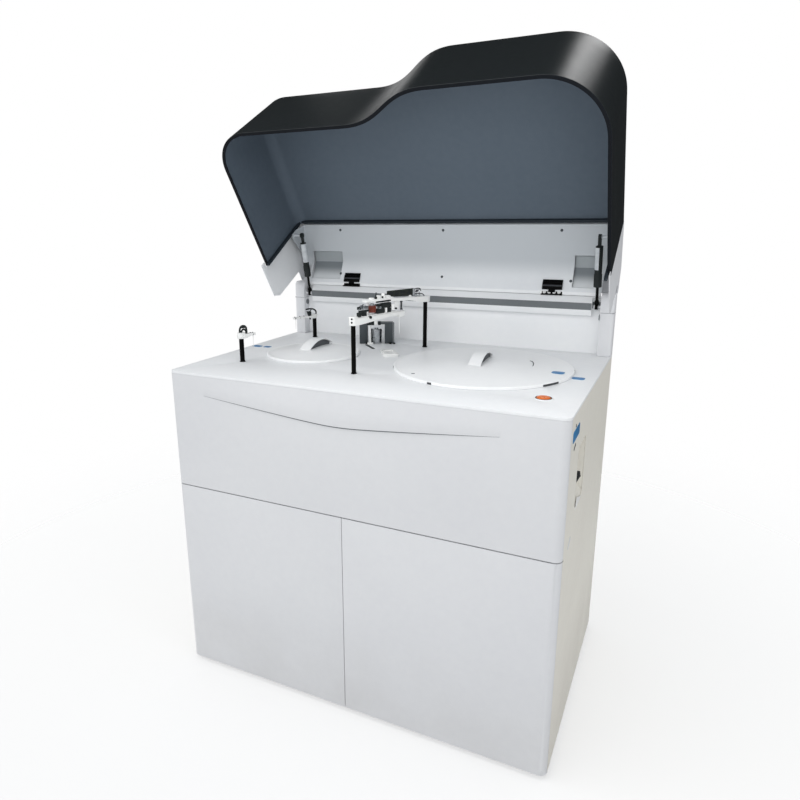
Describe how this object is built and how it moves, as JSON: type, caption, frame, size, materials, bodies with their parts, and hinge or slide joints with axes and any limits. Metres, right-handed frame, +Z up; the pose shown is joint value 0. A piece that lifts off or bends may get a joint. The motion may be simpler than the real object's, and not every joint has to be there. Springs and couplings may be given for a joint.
{
  "type": "chemistry analyzer",
  "caption": "Floor-standing lab analyzer: two-door cabinet, flat deck with round tubs and swinging pipetting arms, and a wavy dark hood lifted on hinges and gas struts.",
  "frame": {"origin": "on the floor, in the middle of the whole outline with the hood open", "axes": "+X to the right seen from the front, +Y to the back, +Z up"},
  "size_m": [1.05, 0.729, 1.6999],
  "materials": {
    "white_panel": "satin white powder coat",
    "side_panel": "satin warm white powder coat",
    "deck": "smooth white moulding",
    "liner": "satin pale grey powder coat",
    "hood": "dark glossy thermoformed shell",
    "trim": "matt edge trim",
    "black_metal": "black anodised",
    "black_plastic": "black moulding",
    "arm_cover": "white painted casting",
    "bright_metal": "plain metal can",
    "grey_metal": "grey anodised plate",
    "tub": "dark grey moulding",
    "turntable": "blue moulding",
    "tank": "translucent white moulding",
    "supply_case": "grey case",
    "button": "orange push button",
    "frame_steel": "grey primer"
  },
  "bodies": {
    "cabinet": {"front_panel": "white_panel", "upright_left": "white_panel", "upright_right": "white_panel", "side_panel_left": "side_panel", "side_panel_right": "side_panel", "rear_panel": "side_panel", "switch_recess": "side_panel", "deck_cover": "deck", "rear_wall": "liner", "rear_housing_ledge": "liner", "lid_hinge_base_left": "black_metal", "lid_hinge_base_right": "black_metal", "levelling_foot_front_left": "black_plastic", "levelling_foot_front_right": "black_plastic", "levelling_foot_rear_left": "black_plastic", "levelling_foot_rear_right": "black_plastic", "power_inlet": "black_plastic", "start_button_bezel": "black_plastic", "fluid_pump": "black_plastic", "wash_station_motor": "bright_metal", "reaction_motor": "bright_metal", "reagent_motor": "bright_metal", "wash_station_frame": "grey_metal", "reaction_tub": "tub", "reagent_tub": "tub", "wash_water_tank": "tank", "waste_tank": "tank", "power_supply": "supply_case", "base_pan": "frame_steel", "mechanics_shelf": "frame_steel", "centre_partition": "frame_steel"},
    "lid": {"lid_liner": "liner", "lid_rear_cover": "white_panel", "lid_side_left": "white_panel", "lid_side_right": "white_panel", "hood_shell": "hood", "hood_edge_trim": "trim", "lid_hinge_leaf_left": "black_metal", "lid_hinge_leaf_right": "black_metal"},
    "strut_rod_left": {"gas_strut_rod_left": "black_metal"},
    "strut_tube_left": {"gas_strut_tube_left": "black_metal"},
    "strut_rod_right": {"gas_strut_rod_right": "black_metal"},
    "strut_tube_right": {"gas_strut_tube_right": "black_metal"},
    "door_left": {"door_left": "white_panel"},
    "door_right": {"door_right": "white_panel"},
    "front_left_column": {"front_left_arm_column": "black_metal"},
    "front_left_head": {"front_left_arm_head": "arm_cover"},
    "rear_left_column": {"rear_left_arm_column": "black_metal"},
    "rear_left_head": {"rear_left_arm_head": "arm_cover"},
    "front_centre_column": {"front_centre_arm_column": "black_metal"},
    "front_centre_head": {"front_centre_arm_head": "arm_cover"},
    "rear_centre_column": {"rear_centre_arm_column": "black_metal"},
    "rear_centre_head": {"rear_centre_arm_head": "arm_cover"},
    "left_tub_cover": {"left_tub_cover": "deck"},
    "right_tub_cover": {"right_tub_cover": "deck"},
    "reaction_turntable": {"reaction_turntable": "turntable"},
    "reagent_turntable": {"reagent_turntable": "turntable"},
    "start_button": {"start_button": "button"},
    "power_rocker": {"power_rocker": "black_plastic"}
  },
  "joints": [
    {"name": "lid_hinge", "type": "hinge", "parent": "cabinet", "child": "lid", "pos_m": [0, 0.31115, 1.066], "axis": [-1, 0, 0], "range_deg": [-60.8, 0]},
    {"name": "strut_rod_left_swing", "type": "hinge", "parent": "cabinet", "child": "strut_rod_left", "pos_m": [-0.474, 0.29915, 1.033], "axis": [-1, 0, 0], "range_deg": [-60, 1]},
    {"name": "strut_tube_left_slide", "type": "slide", "parent": "strut_rod_left", "child": "strut_tube_left", "axis": [0, -0.2074, 0.9783], "range_m": [-0.034, 0.001]},
    {"name": "strut_rod_right_swing", "type": "hinge", "parent": "cabinet", "child": "strut_rod_right", "pos_m": [0.474, 0.29915, 1.033], "axis": [-1, 0, 0], "range_deg": [-60, 1]},
    {"name": "strut_tube_right_slide", "type": "slide", "parent": "strut_rod_right", "child": "strut_tube_right", "axis": [0, -0.2074, 0.9783], "range_m": [-0.034, 0.001]},
    {"name": "door_left_hinge", "type": "hinge", "parent": "cabinet", "child": "door_left", "pos_m": [-0.5195, -0.33435, 0.3], "axis": [0, 0, -1], "range_deg": [0, 100]},
    {"name": "door_right_hinge", "type": "hinge", "parent": "cabinet", "child": "door_right", "pos_m": [0.5195, -0.33435, 0.3], "axis": [0, 0, 1], "range_deg": [0, 100]},
    {"name": "front_left_arm_lift", "type": "slide", "parent": "cabinet", "child": "front_left_column", "axis": [0, 0, 1], "range_m": [-0.015, 0.04]},
    {"name": "front_left_arm_swing", "type": "hinge", "parent": "front_left_column", "child": "front_left_head", "pos_m": [-0.40798, -0.18987, 0.96], "axis": [0, 0, 1], "range_deg": [-60, 60]},
    {"name": "rear_left_arm_lift", "type": "slide", "parent": "cabinet", "child": "rear_left_column", "axis": [0, 0, 1], "range_m": [-0.015, 0.04]},
    {"name": "rear_left_arm_swing", "type": "hinge", "parent": "rear_left_column", "child": "rear_left_head", "pos_m": [-0.41748, 0.22785, 0.96], "axis": [0, 0, 1], "range_deg": [-5, 75]},
    {"name": "front_centre_arm_lift", "type": "slide", "parent": "cabinet", "child": "front_centre_column", "axis": [0, 0, 1], "range_m": [-0.045, 0]},
    {"name": "front_centre_arm_swing", "type": "hinge", "parent": "front_centre_column", "child": "front_centre_head", "pos_m": [-0.05192, -0.19212, 0.96], "axis": [0, 0, 1], "range_deg": [-75, 60]},
    {"name": "rear_centre_arm_lift", "type": "slide", "parent": "cabinet", "child": "rear_centre_column", "axis": [0, 0, 1], "range_m": [-0.025, 0]},
    {"name": "rear_centre_arm_swing", "type": "hinge", "parent": "rear_centre_column", "child": "rear_centre_head", "pos_m": [-0.0126, 0.21046, 0.96], "axis": [0, 0, 1], "range_deg": [-45, 20]},
    {"name": "left_tub_cover_lift", "type": "slide", "parent": "cabinet", "child": "left_tub_cover", "axis": [0, 0, 1], "range_m": [0, 0.04]},
    {"name": "right_tub_cover_lift", "type": "slide", "parent": "cabinet", "child": "right_tub_cover", "axis": [0, 0, 1], "range_m": [0, 0.04]},
    {"name": "reaction_turntable_spin", "type": "hinge", "parent": "cabinet", "child": "reaction_turntable", "pos_m": [-0.278, -0.01485, 0.84], "axis": [0, 0, 1], "continuous": true},
    {"name": "reagent_turntable_spin", "type": "hinge", "parent": "cabinet", "child": "reagent_turntable", "pos_m": [0.231, 0.00615, 0.84], "axis": [0, 0, 1], "continuous": true},
    {"name": "start_button_press", "type": "slide", "parent": "cabinet", "child": "start_button", "axis": [0, 0, 1], "range_m": [-0.0022, 0], "stiffness_N_per_m": 1500, "springref_m": 0.0008},
    {"name": "power_rocker_tilt", "type": "hinge", "parent": "cabinet", "child": "power_rocker", "pos_m": [0.4965, -0.19285, 0.716], "axis": [0, 1, 0], "range_deg": [-14, 0]}
  ],
  "couplings": [
    {"joint": "strut_rod_left_swing", "follows": "lid_hinge", "ratio": 0.90809},
    {"joint": "strut_tube_left_slide", "follows": "lid_hinge", "m_per_rad": 0.028908},
    {"joint": "strut_rod_right_swing", "follows": "lid_hinge", "ratio": 0.90809},
    {"joint": "strut_tube_right_slide", "follows": "lid_hinge", "m_per_rad": 0.028908}
  ]
}
